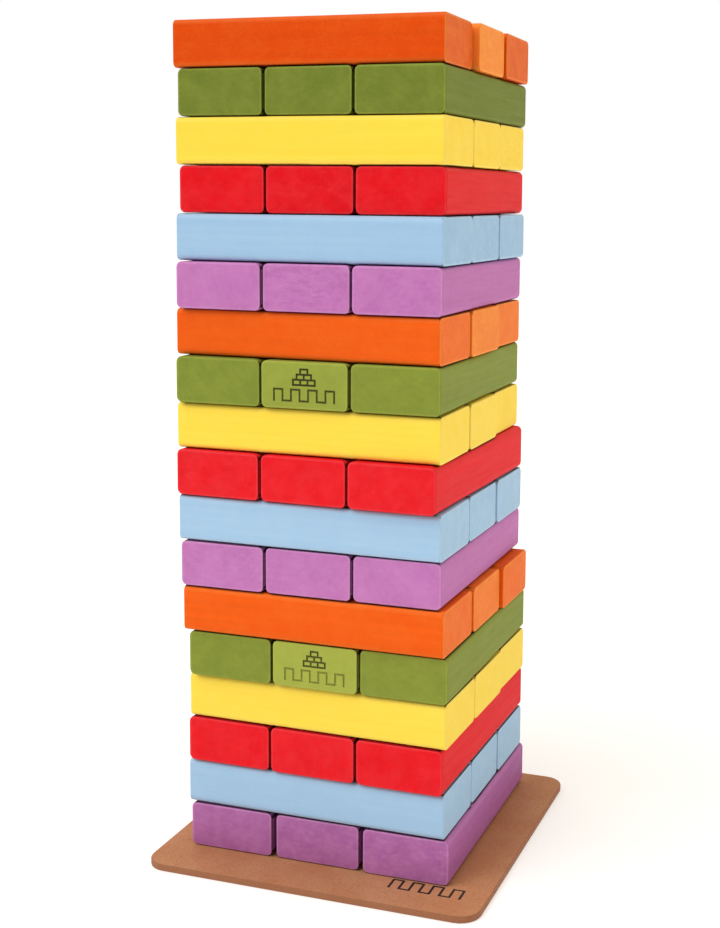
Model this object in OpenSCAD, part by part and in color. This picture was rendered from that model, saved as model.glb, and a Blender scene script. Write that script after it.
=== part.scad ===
// A giant tumbling tower: painted wooden blocks, stacked three to a layer on a fibreboard base.
// Origin at the middle of the board's underside, +Z up. Even layers run along X, odd layers along Y.

/* [Blocks] */
// Length of a block, which is also the side of the tower
block_len = 180; // [150:10:240]
// Height of one layer: a block's thickness with its paint, and the play over it
layer_rise = 30.25; // [25:0.25:40]
// Play between two layers, because no block is quite flat
layer_gap = 0.05; // [0.05:0.05:0.5]
// Clear gap between two blocks of a layer
block_gap = 1; // [0.5:0.1:2]
// Radius of a block's four long edges
long_edge_r = 4; // [1:0.5:6]
// Chamfer round each end of a block
end_ease = 1; // [0.4:0.2:2]

/* [Tower] */
// Number of layers
layers = 18; // [3:1:19]
// How far the tower stands from the middle of the board along X
tower_x = -8; // [-15:1:15]
// How far the tower stands from the middle of the board along Y
tower_y = 3; // [-15:1:15]

/* [Board] */
// Side of the square board
board_side = 228; // [220:2:300]
// Thickness of the board
board_t = 4.5; // [3:0.5:9]
// Radius of the board's corners
board_corner_r = 14; // [5:1:25]

/* [Engraved mark] */
// Width of one block of the engraved pyramid
brick_w = 6.2; // [5:0.1:8]
// Height of one block of the engraved pyramid
brick_h = 4.6; // [4:0.1:4.8]
// Distance between two posts of the square wave under the pyramid
wave_pitch = 5.8; // [5:0.1:6.5]
// Height of the square wave
wave_h = 8.4; // [6:0.2:8.8]
// Width of an engraved stroke
mark_stroke = 1.3; // [0.8:0.1:1.5]
// Depth of the engraving
mark_depth = 0.8; // [0.4:0.1:1.5]

/* [Hidden] */
$fn = 48;
block_pitch = block_len / 3;
block_w = block_pitch - block_gap;
block_t = layer_rise - layer_gap;
cut_slack = 1;
// Heights of the pyramid's middle over the middle of the block's end, and of the wave's middle under it
pyramid_up = 5.3;
wave_down = 6.2;
pyramid_rows = 3;
wave_posts = 8;

// The six colours, from the bottom layer up, and then again
COLOUR_NAMES = ["purple", "blue", "red", "yellow", "green", "orange"];
COLOURS = ["#be73b4", "#a5c8e6", "#ea1f28", "#fddc50", "#7f8f34", "#ee5208"];
BOARD_COLOUR = "#b97d5a";

// How a hand has set each layer, from the bottom up:
// [shift along X, shift along Y, turn in degrees, extra gap between its blocks]
LAYER_SET = [
    [2.5, 7, 0.3, 1.6], [1, 5, -0.2, 0], [2, 3, -0.5, 0],
    [4, 2.5, -0.8, 0], [4.5, -0.5, 0.2, 0], [2.5, -3.5, -0.1, 0],
    [0, -1.5, 0.2, 0], [0, -3.5, -0.1, 0], [0.5, -5.5, -1.3, 0],
    [-1, -2.5, -0.1, 0], [-1.5, -4.5, 0.7, 0], [-1, -1.5, -0.7, 0],
    [-1, -3.5, 0.6, 0], [-0.5, -2, -0.2, 0], [-1.5, 2.5, 0.9, 0],
    [-1.5, 0, 0, 0], [-1.5, 3, 0, 0], [-2, 2.5, 1.1, 0],
];
// How far each block of a layer stands out along its own length, from the bottom up
BLOCK_SLIP = [
    [0, 0.5, -0.5], [0, 0, 0.5], [0.5, 0, 0], [0, 0, -1.5], [0, -0.5, 0.5], [0, 1, 3.5],
    [-0.5, 0, 0.5], [0, 0, 1], [0, 0.5, 0], [0, 0.5, -2], [0.5, -0.5, 0], [0, 1, -2.5],
    [0, 0.5, 0], [0, -0.5, 0], [0.5, 0, -0.5], [0, 0, -0.5], [0, 0.5, 0.5], [-3, 1.5, 3],
];
// The layers, counted from 0, whose middle block carries the engraved mark
MARKED_LAYERS = [4, 10];

function runs_along_x(layer) = layer % 2 == 1;
function two_digits(n) = str(n < 10 ? "0" : "", n);
function place_name(layer, place) =
    (runs_along_x(layer) ? ["front", "middle", "back"] : ["left", "middle", "right"])[place];
function block_name(layer, place) =
    str("layer", two_digits(layer + 1), "_", COLOUR_NAMES[layer % 6], "_", place_name(layer, place));
function is_marked(layer, place) = place == 1 && len([for (m = MARKED_LAYERS) if (m == layer) m]) > 0;

BLOCKS = [for (layer = [0 : layers - 1], place = [0 : 2]) [layer, place]];

// A rectangle centred on the origin, with round corners
module rounded_rect(w, d, r) {
    square([w - 2 * r, d], center = true);
    square([w, d - 2 * r], center = true);
    for (x = [-1, 1], y = [-1, 1])
        translate([x * (w / 2 - r), y * (d / 2 - r)]) circle(r);
}

// A rectangle centred on the origin, with its corners cut off
module chamfered_rect(w, d, c) {
    polygon([
        [-w / 2 + c, -d / 2], [w / 2 - c, -d / 2], [w / 2, -d / 2 + c], [w / 2, d / 2 - c],
        [w / 2 - c, d / 2], [-w / 2 + c, d / 2], [-w / 2, d / 2 - c], [-w / 2, -d / 2 + c],
    ]);
}

// One block, its length along X, centred on the origin
module block_solid() {
    intersection() {
        rotate([90, 0, 90])
            linear_extrude(block_len, center = true) rounded_rect(block_w, block_t, long_edge_r);
        linear_extrude(2 * block_t, center = true)
            chamfered_rect(block_len, block_w + 2 * cut_slack, end_ease + cut_slack);
        rotate([90, 0, 0])
            linear_extrude(2 * block_w, center = true)
                chamfered_rect(block_len, block_t + 2 * cut_slack, end_ease + cut_slack);
    }
}

// The outline of a box, centred on the origin
module box_outline(w, h) {
    difference() {
        square([w, h], center = true);
        square([w - 2 * mark_stroke, h - 2 * mark_stroke], center = true);
    }
}

// A small pyramid of blocks, whose outlines share their strokes
module pyramid() {
    for (row = [0 : pyramid_rows - 1], i = [0 : pyramid_rows - 1 - row])
        translate([
            (i - (pyramid_rows - 1 - row) / 2) * (brick_w - mark_stroke),
            (row - (pyramid_rows - 1) / 2) * (brick_h - mark_stroke),
        ]) box_outline(brick_w, brick_h);
}

// A line that runs up and down in square turns
module wave() {
    for (i = [0 : wave_posts - 1])
        translate([(i - (wave_posts - 1) / 2) * wave_pitch, 0]) square([mark_stroke, wave_h], center = true);
    for (i = [0 : wave_posts - 2])
        translate([(i - (wave_posts - 2) / 2) * wave_pitch, (i % 2 == 0 ? 1 : -1) * (wave_h - mark_stroke) / 2])
            square([wave_pitch + mark_stroke, mark_stroke], center = true);
}

// The pyramid over the wave, drawn in the plane of a block's end
module mark() {
    translate([0, pyramid_up]) pyramid();
    translate([0, -wave_down]) wave();
}

// What the mark takes out of the -Y end of a block that runs along Y
module mark_cutter() {
    translate([0, -block_len / 2 - cut_slack, 0])
        rotate([-90, 0, 0]) linear_extrude(mark_depth + cut_slack) mirror([0, 1]) mark();
}

module block(layer, place) {
    at = LAYER_SET[layer % len(LAYER_SET)];
    slip = BLOCK_SLIP[layer % len(BLOCK_SLIP)][place];
    across = (place - 1) * (block_pitch + at[3]);
    color(COLOURS[layer % len(COLOURS)])
        translate([tower_x + at[0], tower_y + at[1], board_t + (layer + 0.5) * layer_rise])
            rotate(at[2])
                if (runs_along_x(layer)) {
                    translate([slip, across, 0]) block_solid();
                } else {
                    translate([across, slip, 0]) difference() {
                        rotate(90) block_solid();
                        if (is_marked(layer, place)) mark_cutter();
                    }
                }
}

module base_board() {
    color(BOARD_COLOUR) linear_extrude(board_t) rounded_rect(board_side, board_side, board_corner_r);
}

base_board();
for (b = BLOCKS)
    block(b[0], b[1]);
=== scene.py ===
import math
import random

import bmesh
import bpy
from mathutils import Matrix, Vector, noise
from mathutils.bvhtree import BVHTree


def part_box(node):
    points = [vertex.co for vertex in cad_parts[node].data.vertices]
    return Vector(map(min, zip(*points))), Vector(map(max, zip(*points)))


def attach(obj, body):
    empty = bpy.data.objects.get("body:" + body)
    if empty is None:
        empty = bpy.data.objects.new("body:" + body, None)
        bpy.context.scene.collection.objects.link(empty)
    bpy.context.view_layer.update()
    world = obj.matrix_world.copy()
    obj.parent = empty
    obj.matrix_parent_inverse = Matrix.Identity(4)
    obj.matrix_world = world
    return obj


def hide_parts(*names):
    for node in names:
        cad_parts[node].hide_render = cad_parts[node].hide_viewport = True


# The looks of a giant tumbling tower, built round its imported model. Sizes are in metres.
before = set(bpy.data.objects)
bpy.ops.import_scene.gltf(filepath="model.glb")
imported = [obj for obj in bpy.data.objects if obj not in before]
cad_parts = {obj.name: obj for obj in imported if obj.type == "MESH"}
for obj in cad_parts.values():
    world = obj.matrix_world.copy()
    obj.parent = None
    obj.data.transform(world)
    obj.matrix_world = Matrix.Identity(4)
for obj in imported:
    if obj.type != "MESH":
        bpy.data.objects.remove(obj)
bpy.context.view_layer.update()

MM = 0.001

# Camera
CAMERA_AT = (0.3551, -0.9078, 0.4397)
CAMERA_TURN = 18.83  # degrees to the left of +Y
CAMERA_DROP = 6.86  # degrees below the horizon
CAMERA_ROLL = 0.55  # degrees
LENS_MM = 55.99
SENSOR_MM = 36
CAMERA_SHIFT = (-0.0795, -0.1009)  # frames the whole tower without turning the camera

# Light: a wide soft key from the upper left, and a studio all round, brighter and warmer at the back
KEY_TURN = 38  # degrees from the tower's front (-Y) to its left (-X)
KEY_RISE = 52  # degrees above the horizon
KEY_WIDTH = 50  # degrees
KEY_DISTANCE = 2
KEY_STRENGTH = 1.8
FILL_FRONT = 0.33
FILL_BACK = 1.28
FILL_FRONT_COLOUR = (1.0, 1.0, 1.0, 1.0)
FILL_BACK_COLOUR = (1.0, 0.9, 0.7, 1.0)
WHITE = (1.0, 1.0, 1.0, 1.0)

# Floor: pale, and lit a little from within, so that the tower's shadow stays faint
FLOOR_WHITE = 0.66
FLOOR_GLOW = 0.42
FLOOR_SIZE = 16
FLOOR_CELLS = 8
FLOOR_DROP = 0.2 * MM  # keeps the floor clear of the board's underside

LAYERS = 18

# The shape of a block
EDGE_RADIUS = 4 * MM
EDGE_RADIUS_SPREAD = 0.4 * MM  # a block's own radius is up to this much smaller
END_EASE = 1 * MM
BLOCK_STATIONS = 34  # steps along a block
BLOCK_CELLS = (9, 5)  # across its end, and up it
BLOCK_CAP_STEPS = 3  # steps from the eased rim of an end in to its grid of cells
ARC_STEPS = 6  # steps round a long edge
RIM_WEAR_AND_HIGHLIGHT = (0.8, 1, 0.4, 0, 0)  # how pale the paint is round an eased end, from its flat to the side: worn paint and a painted highlight
EASE_STEPS = len(RIM_WEAR_AND_HIGHLIGHT) - 1
CORNER_WEAR_AND_HIGHLIGHT = 0.4  # and along a long edge, worn paint and a painted highlight
LINE_SPACING = 0.6 * MM  # the least distance from a line of the even grid to one let in
MERGE_WITHIN = 0.001 * MM
FLAT_END = 0.999  # the end share from which a point lies on the flat of an end
SHARP_TURN = 50  # degrees between two faces from which the edge between them stays sharp
UPRIGHT = 0.1  # the most that the normal of an upright face may rise

# Sanding
LOOSE_FIT = 0.15 * MM  # how far the sides of a block draw back from their neighbours
SAND_FLAT = 0.12 * MM
SAND_EDGE = 0.3 * MM
SAND_FLAT_WAVES = 24  # per metre
SAND_EDGE_WAVES = 70
END_CROWN = 0.15 * MM
CROWN_REACH = 30 * MM  # how far from an end's middle the crown has fallen by END_CROWN
NOISE_REACH = 50  # a block's own place in the noise is up to this far off

# Painted shade in the joints between blocks
JOINT_MARGIN = 0.8 * MM  # how far the painted shade of a joint reaches over the flat faces
JOINT_NEAR = 1.6 * MM  # the painted shade is full up to this distance from the next layer
JOINT_FAR = 3 * MM  # and gone from this distance on
# How squarely a surface faces its neighbour where the painted shade starts, and where it is full
JOINT_SHADE_AT_ENDS = (0.45, 0.85)
JOINT_SHADE_AT_SIDES = (0.75, 0.97)

# What differs from block to block: its place in the trunk, and a little in its paint
PITH_ACROSS = 0.05  # the pith lies up to this far to one side of the block
PITH_UP = (0.01, 0.06)  # and this far above or below it
TRUNK_RUN = 80  # so long that the grain seldom comes again
TONE_SPREAD = (-0.02, 0.08)
FIGURE_ON_SIDES = 0.35  # the share of a block's figure that its sides show

# Board
BOARD_CORNER = 14 * MM
BOARD_EASE = 0.5 * MM
BOARD_STATIONS = 2
BOARD_CELLS = (18, 18)
BOARD_CAP_STEPS = 6

# The engraved mark: a pyramid of blocks over a square wave, in millimetres
ENGRAVED = {"brick_w": 6.2, "brick_h": 4.6, "wave_pitch": 5.8, "wave_h": 8.4, "stroke": 1.3,
            "pyramid_up": 5.3, "wave_down": 6.2}
ENGRAVED_DEPTH = 0.8 * MM
# How dark the engraving of each marked block is: its pyramid, and its wave
ENGRAVED_SOOT = {"layer05_green_middle": (0.8, 0.0), "layer11_green_middle": (1.0, 0.85)}
# The same mark printed on the board, larger; the tower stands on its pyramid and hides it
PRINTED = {"brick_w": 7.2, "brick_h": 5.4, "wave_pitch": 6.76, "wave_h": 12.4, "stroke": 1.7,
           "pyramid_up": 6.2, "wave_down": 8}
PRINTED_AT = (73.5 * MM, -78.8 * MM)
PYRAMID_ROWS = 3
WAVE_POSTS = 8

# Paints: the usual tone, the darker tone of the grain, the paler tone of worn or thin paint
PAINTS = {
    "purple": ("#c276b6", "#a05c98", "#dba3d0"),
    "blue": ("#a3c6e3", "#8db1d6", "#cde1f1"),
    "red": ("#ea121f", "#c80b15", "#ea5055"),
    "yellow": ("#fddd4c", "#f3c636", "#ffec90"),
    "green": ("#828f37", "#66742a", "#a9b14c"),
    "orange": ("#f05603", "#d04002", "#fba044"),
}
# The blocks whose grain shows more through the paint, and how much
FIGURED = {
    "layer18_orange_middle": 0.5, "layer18_orange_front": 0.15, "layer16_yellow_back": 0.3,
    "layer15_red_middle": 0.2, "layer15_red_right": 0.15, "layer14_blue_middle": 0.25,
    "layer13_purple_middle": 0.3, "layer13_purple_right": 0.15, "layer12_orange_middle": 0.45,
    "layer09_red_left": 0.2, "layer07_purple_left": 0.2, "layer06_orange_middle": 0.3,
    "layer01_purple_middle": 0.25, "layer01_purple_right": 0.25,
}
PLAIN_FIGURE = 0.08
# How much paler a paint is made on the end faces
PALE_ENDS = {"orange": 0.16, "purple": 0.03}
# The colour of the painted shade in the joints between blocks
JOINT_SHADE = "#170f0a"
# How much paler (above 0) or deeper (below 0) than usual a layer is coloured, or a block of its own; the
# deeper bottom layer is painted shade by the board, and the top layers are made deeper
LAYER_TONE_AND_SHADE = {1: -0.5, 13: -0.1, 14: -0.15, 15: -0.15, 16: -0.1, 17: -0.55, 18: -0.5}
BLOCK_TONE = {
    "layer18_orange_middle": 0.4, "layer12_orange_middle": 0.4, "layer12_orange_back": 0.2,
    "layer11_green_middle": 0.35, "layer06_orange_middle": 0.25, "layer05_green_middle": 0.7,
}
# Hardboard: its usual, darker and paler tones
FIBREBOARD = ("#b07652", "#905c40", "#c89a74")
ENGRAVED_DARK = "#3f4410"
ENGRAVED_FAINT = "#9b9c42"
INK = "#17100d"


def linear(code):
    """The linear-light colour of a hex code, with its alpha."""
    colour = []
    for i in (1, 3, 5):
        shown = int(code[i:i + 2], 16) / 255
        colour.append(shown / 12.92 if shown <= 0.04045 else ((shown + 0.055) / 1.055) ** 2.4)
    return colour + [1]


# --- Nodes -----------------------------------------------------------------------------------


class Tree:
    """A node tree under construction, with short calls for the nodes used here."""

    def __init__(self, tree):
        self.tree = tree
        tree.nodes.clear()

    def add(self, kind, inputs=None, **settings):
        made = self.tree.nodes.new(kind)
        for name, value in settings.items():
            setattr(made, name, value)
        for key, value in (inputs or {}).items():
            if isinstance(value, bpy.types.NodeSocket):
                self.tree.links.new(value, made.inputs[key])
            else:
                made.inputs[key].default_value = value
        return made

    def attribute(self, name, output="Fac"):
        return self.add("ShaderNodeAttribute", attribute_name=name).outputs[output]

    def math(self, operation, a, b):
        return self.add("ShaderNodeMath", {0: a, 1: b}, operation=operation).outputs[0]

    def times(self, a, b):
        return self.math("MULTIPLY", a, b)

    def total(self, first, *others):
        for other in others:
            first = self.math("ADD", first, other)
        return first

    def ramp(self, value, low, high, to_low=0.0, to_high=1.0):
        """The value from low to high brought to the range from to_low to to_high, and held within it."""
        inputs = {"Value": value, "From Min": low, "From Max": high, "To Min": to_low, "To Max": to_high}
        return self.add("ShaderNodeMapRange", inputs).outputs[0]

    def mix(self, share, a, b):
        return self.add("ShaderNodeMix", {0: share, 6: a, 7: b}, data_type="RGBA").outputs[2]

    def stretch(self, vector, factors):
        made = self.add("ShaderNodeVectorMath", {0: vector, 1: factors}, operation="MULTIPLY")
        return made.outputs[0]

    def noise(self, vector, scale, detail=3.0, roughness=0.5, distortion=0.0):
        """Noise of a given scale, in waves per metre."""
        inputs = {"Vector": vector, "Scale": scale, "Detail": detail, "Roughness": roughness,
                  "Distortion": distortion}
        return self.add("ShaderNodeTexNoise", inputs).outputs["Fac"]

    def bump(self, height, distance, strength):
        inputs = {"Height": height, "Distance": distance, "Strength": strength}
        return self.add("ShaderNodeBump", inputs).outputs[0]

    def surface(self, color, roughness, normal, ior, specular=0.5):
        inputs = {"Base Color": color, "Roughness": roughness, "Normal": normal, "IOR": ior,
                  "Specular IOR Level": specular}
        shader = self.add("ShaderNodeBsdfPrincipled", inputs)
        self.add("ShaderNodeOutputMaterial", {"Surface": shader.outputs[0]})


def new_material(name, preview):
    material = bpy.data.materials.new(name)
    material.use_nodes = True
    material.diffuse_color = preview
    return material, Tree(material.node_tree)


def paint_material(name, usual, deep, pale, pale_ends):
    """Thin satin paint on pine: the grain shows faintly through it, the edges are a little worn and carry
    a painted highlight, and painted shade darkens the joints.
    """
    material, t = new_material(name + "_paint", linear(usual))
    grain = t.attribute("grain", "Vector")
    end = t.attribute("end")
    along = t.stretch(grain, (0.05, 1, 1))
    streaks = t.ramp(t.noise(along, 60, detail=4, roughness=0.55, distortion=0.5), 0.36, 0.64)
    fibres = t.noise(along, 520, detail=5, roughness=0.65)
    wave = {"Vector": along, "Scale": 62, "Distortion": 5, "Detail": 3, "Detail Scale": 0.7,
            "Detail Roughness": 0.6}
    rings = t.add("ShaderNodeTexWave", wave, wave_type="RINGS", rings_direction="X").outputs["Fac"]
    blotches = t.ramp(t.noise(grain, 95, detail=5, roughness=0.6), 0.38, 0.62)
    speckle = t.noise(grain, 1500, detail=2)
    wisps = t.noise(t.stretch(grain, (0.4, 0.5, 1.3)), 200, detail=5, roughness=0.62, distortion=1.2)
    figure = t.attribute("figure")
    tone_and_shade = t.attribute("tone_and_shade")

    # Deeper where the grain shows through, and on the blocks that are coloured deeper, which on the bottom
    # layer is painted shade by the board
    depth = t.total(t.times(streaks, 0.2),
                    t.times(rings, t.ramp(end, 0, 1, 0.08, 0.06)),
                    t.times(t.ramp(fibres, 0.3, 0.7), 0.14),
                    t.times(figure, t.ramp(wisps, 0.46, 0.66)))
    depth = t.math("SUBTRACT", depth, t.math("MINIMUM", tone_and_shade, 0.0))
    # Paler where the paint is thin or worn, where the edges carry a painted highlight, and on the blocks
    # that are painted paler
    worn_and_highlit = t.total(t.times(blotches, t.ramp(end, 0, 1, 0.05, 0.12)),
                   t.times(end, pale_ends),
                   t.math("MAXIMUM", tone_and_shade, 0.0),
                   t.times(figure, t.ramp(wisps, 0.44, 0.3, 0, 0.5)),
                   # Worn paint and a painted highlight on the eased rims and long edges
                   t.times(t.attribute("edge"), t.ramp(fibres, 0.35, 0.6, 0.2, 0.45)),
                   t.ramp(speckle, 0.3, 0.7, -0.05, 0.05))
    color = t.mix(depth, linear(usual), linear(deep))
    color = t.mix(worn_and_highlit, color, linear(pale))
    # Painted shade darkens the joints where a block meets its neighbours
    color = t.mix(t.times(t.attribute("joint_shade"), 0.9), color, linear(JOINT_SHADE))

    roughness = t.ramp(fibres, 0.3, 0.7, 0.48, 0.62)
    height = t.total(t.times(fibres, 0.6), t.times(rings, 0.25), t.times(speckle, 0.35))
    t.surface(color, roughness, t.bump(height, 0.25 * MM, 0.3), ior=1.36, specular=0.12)
    return material


def engraved_material():
    """The burnt floor of the engraving: darker where the iron pressed harder."""
    material, t = new_material("engraved", linear(ENGRAVED_DARK))
    char = t.noise(t.attribute("grain", "Vector"), 700, detail=4, roughness=0.6)
    share = t.total(t.attribute("soot"), t.ramp(char, 0.3, 0.7, -0.12, 0.12))
    color = t.mix(share, linear(ENGRAVED_FAINT), linear(ENGRAVED_DARK))
    t.surface(color, t.ramp(char, 0.3, 0.7, 0.6, 0.85), t.bump(char, 0.2 * MM, 0.5), ior=1.4)
    return material


def fibreboard_material():
    """Raw hardboard: pressed brown fibre with fine flecks, and a rougher, darker sawn edge."""
    material, t = new_material("fibreboard", linear(FIBREBOARD[0]))
    usual, deep, pale = (linear(code) for code in FIBREBOARD)
    at = t.attribute("grain", "Vector")
    clouds = t.ramp(t.noise(at, 28, detail=4, roughness=0.6), 0.35, 0.65)
    flecks = t.noise(at, 620, detail=4, roughness=0.7, distortion=0.8)
    fibre = t.noise(t.stretch(at, (1, 1, 0.35)), 1400, detail=3, roughness=0.6)
    edge = t.attribute("edge")
    color = t.mix(t.times(clouds, 0.35), usual, pale)
    color = t.mix(t.ramp(flecks, 0.48, 0.7, 0, 0.55), color, deep)
    color = t.mix(t.ramp(fibre, 0.55, 0.75, 0, 0.35), color, pale)
    color = t.mix(t.times(edge, t.ramp(fibre, 0.3, 0.7, 0.5, 0.95)), color, deep)
    roughness = t.ramp(flecks, 0.3, 0.7, 0.5, 0.68)
    height = t.total(flecks, t.times(fibre, 0.5))
    t.surface(color, roughness, t.bump(height, 0.2 * MM, 0.35), ior=1.4, specular=0.2)
    return material


def ink_material():
    """Black print on the board, a little thin where the fibre is open."""
    material, t = new_material("ink", linear(INK))
    flecks = t.noise(t.attribute("grain", "Vector"), 1100, detail=3, roughness=0.6)
    color = t.mix(t.ramp(flecks, 0.5, 0.75, 0, 0.3), linear(INK), linear(FIBREBOARD[1]))
    t.surface(color, t.ramp(flecks, 0.3, 0.7, 0.45, 0.65), t.bump(flecks, 0.1 * MM, 0.3), ior=1.4)
    return material


# --- Shapes ----------------------------------------------------------------------------------


def box_outline(x, z, w, h, stroke):
    """The four strokes of a box centred on (x, z), each as (x0, z0, x1, z1)."""
    left, right, low, high = x - w / 2, x + w / 2, z - h / 2, z + h / 2
    return [(left, low, right, low + stroke), (left, high - stroke, right, high),
            (left, low, left + stroke, high), (right - stroke, low, right, high)]


def in_metres(strokes, at):
    """Strokes given in millimetres, brought to metres and moved to their place."""
    x, z = at
    return [(x0 * MM + x, z0 * MM + z, x1 * MM + x, z1 * MM + z) for x0, z0, x1, z1 in strokes]


def mark_strokes(brick_w, brick_h, wave_pitch, wave_h, stroke, pyramid_up, wave_down, at=(0, 0)):
    """The mark's strokes in metres: those of the pyramid of blocks, and those of the square wave."""
    pyramid, wave = [], []
    for row in range(PYRAMID_ROWS):
        count = PYRAMID_ROWS - row
        for i in range(count):
            x = (i - (count - 1) / 2) * (brick_w - stroke)
            z = pyramid_up + (row - (PYRAMID_ROWS - 1) / 2) * (brick_h - stroke)
            pyramid += box_outline(x, z, brick_w, brick_h, stroke)
    low, high = -wave_down - wave_h / 2, -wave_down + wave_h / 2
    posts = [(i - (WAVE_POSTS - 1) / 2) * wave_pitch for i in range(WAVE_POSTS)]
    for i, x in enumerate(posts):
        left, right = x - stroke / 2, x + stroke / 2
        wave.append((left, low, right, high))
        if i + 1 < WAVE_POSTS:
            level = high - stroke if i % 2 == 0 else low
            wave.append((left, level, right + wave_pitch, level + stroke))
    return in_metres(pyramid, at), in_metres(wave, at)


def even_lines(reach, cells, extra=()):
    """Grid lines from -reach to reach: even ones, but for those too close to the extra ones let in."""
    extra = sorted(set(round(v, 7) for v in extra))
    even = [reach * (2 * i / cells - 1) for i in range(cells + 1)]
    kept = [v for v in even[1:-1] if all(abs(v - e) > LINE_SPACING for e in extra)]
    return sorted([even[0], even[-1]] + kept + extra)


def ring_layout(a_lines, b_lines):
    """The points of a ring round a bar, with what tells the flat of its sides from its long edges.

    Each is (base a, base b, outward a, outward b, corner, by_corner): it lies outward of its base,
    corner rises from 0 on a flat side to 1 in the middle of a long edge, and by_corner says whether
    the point is on such an edge or at the start of one.
    """
    a_far, b_far = a_lines[-1], b_lines[-1]
    sides = [
        [(a, -b_far, 0, -1, 0, abs(a) == a_far) for a in a_lines],
        [(a_far, b, 1, 0, 0, abs(b) == b_far) for b in b_lines],
        [(a, b_far, 0, 1, 0, abs(a) == a_far) for a in reversed(a_lines)],
        [(-a_far, b, -1, 0, 0, abs(b) == b_far) for b in reversed(b_lines)],
    ]
    corners = [(a_far, -b_far, -90), (a_far, b_far, 0), (-a_far, b_far, 90), (-a_far, -b_far, 180)]
    ring = []
    for side, (a, b, start) in zip(sides, corners):
        ring += side
        for step in range(1, ARC_STEPS):
            angle = math.radians(start + 90 * step / ARC_STEPS)
            bend = math.sin(math.pi * step / ARC_STEPS)
            ring.append((a, b, math.cos(angle), math.sin(angle), bend, True))
    return ring


def bar_stations(length, radius, ease, stations, cap_steps):
    """The rings of a bar as (x, inset, end share, wear and painted highlight, by the end), from one end to
    the other.
    """
    half = length / 2
    reach = half - ease
    end = [(half, radius + (ease - radius) * k / cap_steps, 1, 0, True) for k in range(cap_steps)]
    for step, rim_wear_and_highlight in enumerate(RIM_WEAR_AND_HIGHLIGHT):
        angle = math.pi / 2 * (1 - step / EASE_STEPS)
        x = reach + ease * math.sin(angle)
        inset = ease * (1 - math.cos(angle))
        end.append((x, inset, math.sin(angle), rim_wear_and_highlight, True))
    if stations > 2:
        end.append((reach - JOINT_MARGIN, 0, 0, 0, False))
    middle = [(reach * (2 * i / stations - 1), 0, 0, 0, False) for i in range(1, stations)]
    return [(-x, *rest) for x, *rest in end] + middle + end[::-1]


def inside(strokes, a, b):
    """Whether a point lies in one of the strokes."""
    return any(x0 < a < x1 and z0 < b < z1 for x0, z0, x1, z1 in strokes)


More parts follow.
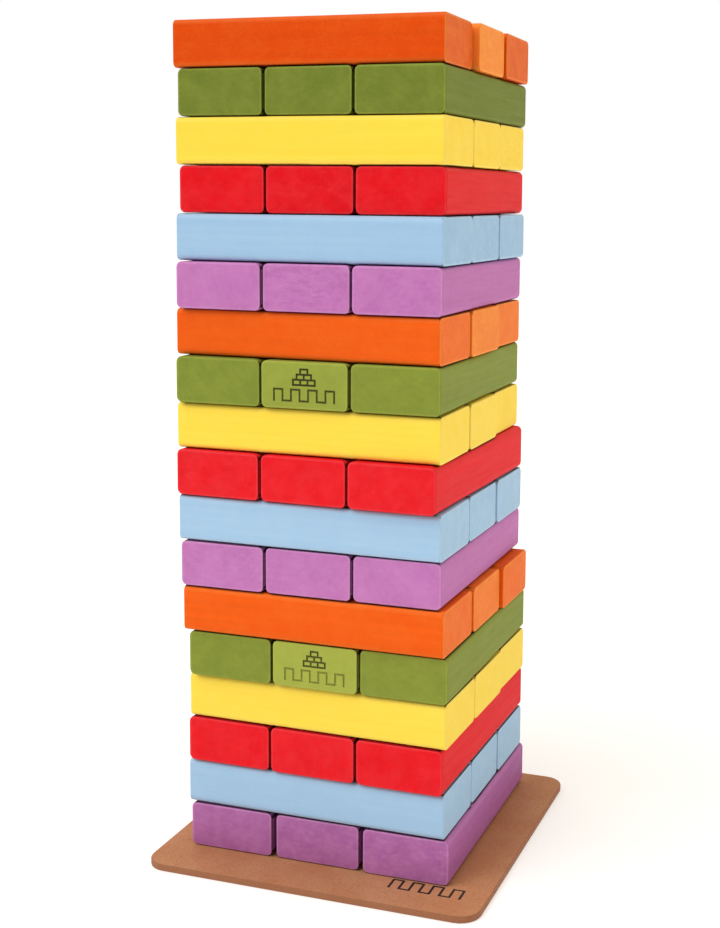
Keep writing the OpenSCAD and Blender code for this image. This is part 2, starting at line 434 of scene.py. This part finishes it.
class Bar:
    """A bar along local X with round long edges and eased ends, and maybe a mark on one of its ends."""

    def __init__(self, length, half_a, half_b, radius, ease, stations, cells, cap_steps,
                 mark=((), ()), mark_end=0, mark_depth=0.0, soot=(1, 1), neighbours=()):
        """Builds the mesh. The mark is on the end whose side is mark_end (-1 or 1), or on none (0)."""
        self.length, self.radius, self.neighbours = length, radius, neighbours
        self.mark, self.mark_depth, self.mark_soot = mark, mark_depth, soot
        strokes = list(mark[0]) + list(mark[1])
        a_extra = [v for x0, z0, x1, z1 in strokes for v in (x0, x1)]
        b_extra = [v for x0, z0, x1, z1 in strokes for v in (z0, z1)]
        if neighbours:
            for side in (-1, 1):
                a_extra.append(side * (half_a - radius - JOINT_MARGIN))
                b_extra.append(side * (half_b - radius - JOINT_MARGIN))
        a_lines = even_lines(half_a - radius, cells[0], a_extra)
        b_lines = even_lines(half_b - radius, cells[1], b_extra)
        self.bm = bmesh.new()
        self.end = self.bm.verts.layers.float.new("end")
        self.edge = self.bm.verts.layers.float.new("edge")
        self.soot = self.bm.verts.layers.float.new("soot")
        self.joint_shade = self.bm.verts.layers.float.new("joint_shade")
        self.grain = self.bm.verts.layers.float_vector.new("grain")
        layout = ring_layout(a_lines, b_lines)
        rings = [self.add_ring(layout, *station)
                 for station in bar_stations(length, radius, ease, stations, cap_steps)]
        for low, high in zip(rings, rings[1:]):
            for i in range(len(low)):
                j = (i + 1) % len(low)
                self.bm.faces.new((low[i], low[j], high[j], high[i]))
        for side in (-1, 1):
            self.add_cap(side, a_lines, b_lines, strokes if side == mark_end else ())
        bmesh.ops.remove_doubles(self.bm, verts=self.bm.verts, dist=MERGE_WITHIN)
        bmesh.ops.recalc_face_normals(self.bm, faces=self.bm.faces)

    def add_ring(self, layout, x, inset, end, rim_wear_and_highlight, by_end):
        ring = []
        for a, b, out_a, out_b, corner, by_corner in layout:
            reach = self.radius - inset
            v = self.bm.verts.new((x, a + out_a * reach, b + out_b * reach))
            v[self.end] = end
            v[self.edge] = max(rim_wear_and_highlight, CORNER_WEAR_AND_HIGHLIGHT * corner * (1 - end))
            # Points at the ends and long edges get painted shade where they face a neighbour
            if by_end or by_corner:
                v[self.joint_shade] = self.joint_shade_share(out_a, out_b, end, by_end)
            ring.append(v)
        return ring

    def joint_shade_share(self, out_a, out_b, end, by_end):
        """How much painted shade a point gets in the joint with a neighbour, from how squarely the surface
        faces it.
        """
        facing = max((out_a * a + out_b * b for a, b in self.neighbours), default=0)
        low, high = JOINT_SHADE_AT_ENDS if by_end else JOINT_SHADE_AT_SIDES
        turned = facing * math.sqrt(1 - min(1, end) ** 2)
        return min(1, max(0, (turned - low) / (high - low)))

    def add_cap(self, side, a_lines, b_lines, strokes):
        """The grid of cells on one end, with the strokes sunk into it or only marked on it."""
        made = {}

        def vertex(i, j, sunk):
            key = (i, j, sunk and self.mark_depth > 0)
            if key not in made:
                x = side * (self.length / 2 - (self.mark_depth if sunk else 0))
                made[key] = self.bm.verts.new((x, a_lines[i], b_lines[j]))
                made[key][self.end] = 1
            return made[key]

        cells = {}
        for i in range(len(a_lines) - 1):
            for j in range(len(b_lines) - 1):
                middle = ((a_lines[i] + a_lines[i + 1]) / 2, (b_lines[j] + b_lines[j + 1]) / 2)
                sunk = inside(strokes, *middle)
                cells[i, j] = sunk
                corners = [vertex(i, j, sunk), vertex(i + 1, j, sunk),
                           vertex(i + 1, j + 1, sunk), vertex(i, j + 1, sunk)]
                face = self.bm.faces.new(corners)
                face.material_index = 1 if sunk else 0
                if sunk:
                    dark = self.mark_soot[0 if inside(self.mark[0], *middle) else 1]
                    for v in corners:
                        v[self.soot] = dark
        if self.mark_depth == 0:
            return
        for (i, j), sunk in cells.items():
            for di, dj in ((1, 0), (0, 1)):
                other = cells.get((i + di, j + dj))
                if other is None or other == sunk:
                    continue
                near, far = (i + di, j + dj), (i + 1, j + 1)
                wall = [vertex(*near, False), vertex(*far, False), vertex(*far, True), vertex(*near, True)]
                self.bm.faces.new(wall).material_index = 1

    def sand(self, rng):
        """Draws the surface in a little here and there, as sanding does, and more along its edges."""
        seed = Vector([rng.uniform(-NOISE_REACH, NOISE_REACH) for _ in range(3)])
        self.bm.normal_update()
        for v in self.bm.verts:
            flat = 0.5 + 0.5 * noise.noise(v.co * SAND_FLAT_WAVES + seed)
            edge = 0.5 + 0.5 * noise.noise(v.co * SAND_EDGE_WAVES + seed)
            if v[self.end] > FLAT_END:
                a, b = v.co.y, v.co.z
                off_centre = min(1, (a * a + b * b) / CROWN_REACH ** 2)
                v.co.x -= math.copysign(SAND_FLAT * flat + END_CROWN * off_centre, v.co.x)
            else:
                v.co -= v.normal * (LOOSE_FIT + SAND_FLAT * flat + SAND_EDGE * v[self.edge] * edge)

    def clear_shade_on_open_edges(self, matrix, below, above):
        """Takes the painted shade off the edges that no block of the layer below or above covers."""
        for v in self.bm.verts:
            if v[self.joint_shade] == 0 or abs(v.normal.z) < abs(v.normal.y):
                continue
            up = v.normal.z > 0
            surface = above if up else below
            if surface:
                way = Vector((0, 0, 1 if up else -1))
                distance = surface.ray_cast(matrix @ v.co, way, JOINT_FAR)[3]
                share = 0 if distance is None else (JOINT_FAR - distance) / (JOINT_FAR - JOINT_NEAR)
                v[self.joint_shade] *= min(1, max(0, share))

    def set_grain(self, offset):
        """Gives each point its place in the trunk, which the materials take their grain from."""
        for v in self.bm.verts:
            v[self.grain] = v.co + offset

    def piece(self, name, matrix, materials, body, node):
        """Makes the object: placed, smooth but for the engraving's edges, and tied to its CAD node."""
        for e in self.bm.edges:
            e.smooth = not (len(e.link_faces) == 2 and e.calc_face_angle(0) > math.radians(SHARP_TURN))
        for f in self.bm.faces:
            f.smooth = True
        self.bm.transform(matrix)
        mesh = bpy.data.meshes.new(name)
        self.bm.to_mesh(mesh)
        self.bm.free()
        for material in materials:
            mesh.materials.append(material)
        made = bpy.data.objects.new(name, mesh)
        bpy.context.scene.collection.objects.link(made)
        even = made.modifiers.new("even_shading", "WEIGHTED_NORMAL")
        even.keep_sharp = True
        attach(made, body)
        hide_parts(node)


def block_frame(node):
    """The matrix that puts a bar's own axes on a CAD block, and the block's length, width and height."""
    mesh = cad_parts[node].data
    area = {}  # of the upright faces, by the line their normals lie on
    for polygon in mesh.polygons:
        n = polygon.normal
        if abs(n.z) < UPRIGHT:
            key = (round(abs(n.x), 4), round(n.y * (1 if n.x > 0 else -1), 4))
            area[key] = area.get(key, 0) + polygon.area
    x, y = max(area, key=area.get)
    across = Vector((x, y, 0)).normalized()
    along = Vector((0, 0, 1)).cross(across)
    if along.x + along.y < 0:
        along = -along
    across = Vector((0, 0, 1)).cross(along)
    axes = (along, across, Vector((0, 0, 1)))
    spans = []
    for axis in axes:
        reach = [v.co.dot(axis) for v in mesh.vertices]
        spans.append((min(reach), max(reach)))
    centre = sum(((low + high) / 2 * axis for (low, high), axis in zip(spans, axes)), Vector())
    turn = Matrix(axes).transposed().to_4x4()
    return Matrix.Translation(centre) @ turn, [high - low for low, high in spans]


def layer_surface(layer):
    """The CAD surface of a whole layer; layer 0 is the board."""
    points, faces = [], []
    for name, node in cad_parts.items():
        if name.startswith("layer%02d_" % layer) or (layer == 0 and name == "base_board"):
            start = len(points)
            points += [v.co.copy() for v in node.data.vertices]
            faces += [[start + i for i in p.vertices] for p in node.data.polygons]
    return BVHTree.FromPolygons(points, faces)


def neighbours_of(layer, place):
    """The directions (across, up) in which a block's edges carry painted shade from its neighbours."""
    sides = [(0, -1)]
    if layer < LAYERS:
        sides.append((0, 1))
    if layer % 2 == 1 and place != "right":
        sides.append((-1, 0))
    if layer % 2 == 1 and place != "left":
        sides.append((1, 0))
    return sides


def make_block(node, paint, engraved, surfaces, rng):
    layer_name, colour, place = node.split("_")
    layer = int(layer_name[-2:])
    matrix, (length, width, thickness) = block_frame(node)
    radius = EDGE_RADIUS - rng.uniform(0, 1) * EDGE_RADIUS_SPREAD
    engraving = {}
    if node in ENGRAVED_SOOT:
        engraving = {"mark": mark_strokes(**ENGRAVED), "mark_end": -1, "mark_depth": ENGRAVED_DEPTH,
                     "soot": ENGRAVED_SOOT[node]}
    bar = Bar(length, width / 2, thickness / 2, radius, END_EASE, BLOCK_STATIONS, BLOCK_CELLS,
              BLOCK_CAP_STEPS, neighbours=neighbours_of(layer, place), **engraving)
    bar.sand(rng)
    bar.clear_shade_on_open_edges(matrix, surfaces[layer - 1], surfaces.get(layer + 1))
    pith = Vector((0, rng.uniform(-PITH_ACROSS, PITH_ACROSS), rng.choice((-1, 1)) * rng.uniform(*PITH_UP)))
    bar.set_grain(pith + Vector((rng.uniform(0, TRUNK_RUN), 0, 0)))
    tone_and_shade = bar.bm.verts.layers.float.new("tone_and_shade")
    figure = bar.bm.verts.layers.float.new("figure")
    # The bottom layer's deeper tone is painted shade by the board
    level = BLOCK_TONE.get(node, LAYER_TONE_AND_SHADE.get(layer, 0)) + rng.uniform(*TONE_SPREAD)
    strength = FIGURED.get(node, PLAIN_FIGURE)
    for v in bar.bm.verts:
        v[tone_and_shade] = level
        v[figure] = strength * (FIGURE_ON_SIDES + (1 - FIGURE_ON_SIDES) * v[bar.end])
    bar.piece(node + "_painted", matrix, [paint, engraved], node, node)


def make_board(fibreboard, ink):
    low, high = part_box("base_board")
    size = high - low
    strokes = mark_strokes(**PRINTED, at=PRINTED_AT)
    bar = Bar(size.z, size.x / 2, size.y / 2, BOARD_CORNER, BOARD_EASE, BOARD_STATIONS, BOARD_CELLS,
              BOARD_CAP_STEPS, mark=strokes, mark_end=1)
    for v in bar.bm.verts:
        v[bar.edge] = 1 if v[bar.end] < FLAT_END else 0
    bar.set_grain(Vector((0, 0, 0)))
    stand_up = Matrix(((0, 1, 0), (0, 0, 1), (1, 0, 0))).to_4x4()
    bar.piece("base_board_panel", Matrix.Translation((low + high) / 2) @ stand_up, [fibreboard, ink],
              "base_board", "base_board")


# --- Studio ----------------------------------------------------------------------------------


def make_camera():
    data = bpy.data.cameras.new("camera")
    data.sensor_width = SENSOR_MM
    data.lens = LENS_MM
    data.shift_x, data.shift_y = CAMERA_SHIFT
    camera = bpy.data.objects.new("camera", data)
    turn = Matrix.Rotation(math.radians(CAMERA_TURN), 4, "Z")
    tilt = Matrix.Rotation(math.radians(90 - CAMERA_DROP), 4, "X")
    roll = Matrix.Rotation(math.radians(CAMERA_ROLL), 4, "Z")
    camera.matrix_world = Matrix.Translation(CAMERA_AT) @ turn @ tilt @ roll
    bpy.context.scene.collection.objects.link(camera)
    bpy.context.scene.camera = camera


def make_light():
    data = bpy.data.lights.new("key", "SUN")
    data.energy = KEY_STRENGTH
    data.angle = math.radians(KEY_WIDTH)
    key = bpy.data.objects.new("key", data)
    turn, rise = math.radians(KEY_TURN), math.radians(KEY_RISE)
    level = math.cos(rise)
    towards = Vector((-math.sin(turn) * level, -math.cos(turn) * level, math.sin(rise)))
    key.rotation_mode = "QUATERNION"
    key.rotation_quaternion = towards.to_track_quat("Z", "Y")
    key.location = towards * KEY_DISTANCE
    bpy.context.scene.collection.objects.link(key)

    world = bpy.data.worlds.new("studio")
    world.use_nodes = True
    bpy.context.scene.world = world
    t = Tree(world.node_tree)
    direction = t.add("ShaderNodeTexCoord").outputs["Generated"]
    back = t.ramp(t.add("ShaderNodeSeparateXYZ", {0: direction}).outputs["Y"], -1, 1)
    strength = t.ramp(back, 0, 1, FILL_FRONT, FILL_BACK)
    color = t.mix(back, FILL_FRONT_COLOUR, FILL_BACK_COLOUR)
    fill = t.add("ShaderNodeBackground", {"Color": color, "Strength": strength})
    seen = t.add("ShaderNodeBackground", {"Color": WHITE, "Strength": 1.0})
    is_seen = t.add("ShaderNodeLightPath").outputs["Is Camera Ray"]
    both = t.add("ShaderNodeMixShader", {0: is_seen, 1: fill.outputs[0], 2: seen.outputs[0]})
    t.add("ShaderNodeOutputWorld", {"Surface": both.outputs[0]})


def make_floor():
    bm = bmesh.new()
    bmesh.ops.create_grid(bm, x_segments=FLOOR_CELLS, y_segments=FLOOR_CELLS, size=FLOOR_SIZE / 2)
    mesh = bpy.data.meshes.new("floor")
    bm.to_mesh(mesh)
    bm.free()
    floor = bpy.data.objects.new("floor", mesh)
    floor.location = (0, 0, -FLOOR_DROP)
    bpy.context.scene.collection.objects.link(floor)
    white = [FLOOR_WHITE] * 3 + [1]
    material, t = new_material("floor", white)
    inputs = {"Base Color": white, "Roughness": 0.9, "Specular IOR Level": 0.1,
              "Emission Color": WHITE, "Emission Strength": FLOOR_GLOW}
    shader = t.add("ShaderNodeBsdfPrincipled", inputs)
    t.add("ShaderNodeOutputMaterial", {"Surface": shader.outputs[0]})
    mesh.materials.append(material)


make_camera()
make_light()
make_floor()

engraved = engraved_material()
paints = {}
for name, tones in PAINTS.items():
    paints[name] = paint_material(name, *tones, PALE_ENDS.get(name, 0.0))
make_board(fibreboard_material(), ink_material())
surfaces = {layer: layer_surface(layer) for layer in range(LAYERS + 1)}
for node in sorted(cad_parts):
    if node != "base_board":
        make_block(node, paints[node.split("_")[1]], engraved, surfaces, random.Random(node))

settings = bpy.context.scene.view_settings
settings.view_transform = "Standard"
settings.look = "None"
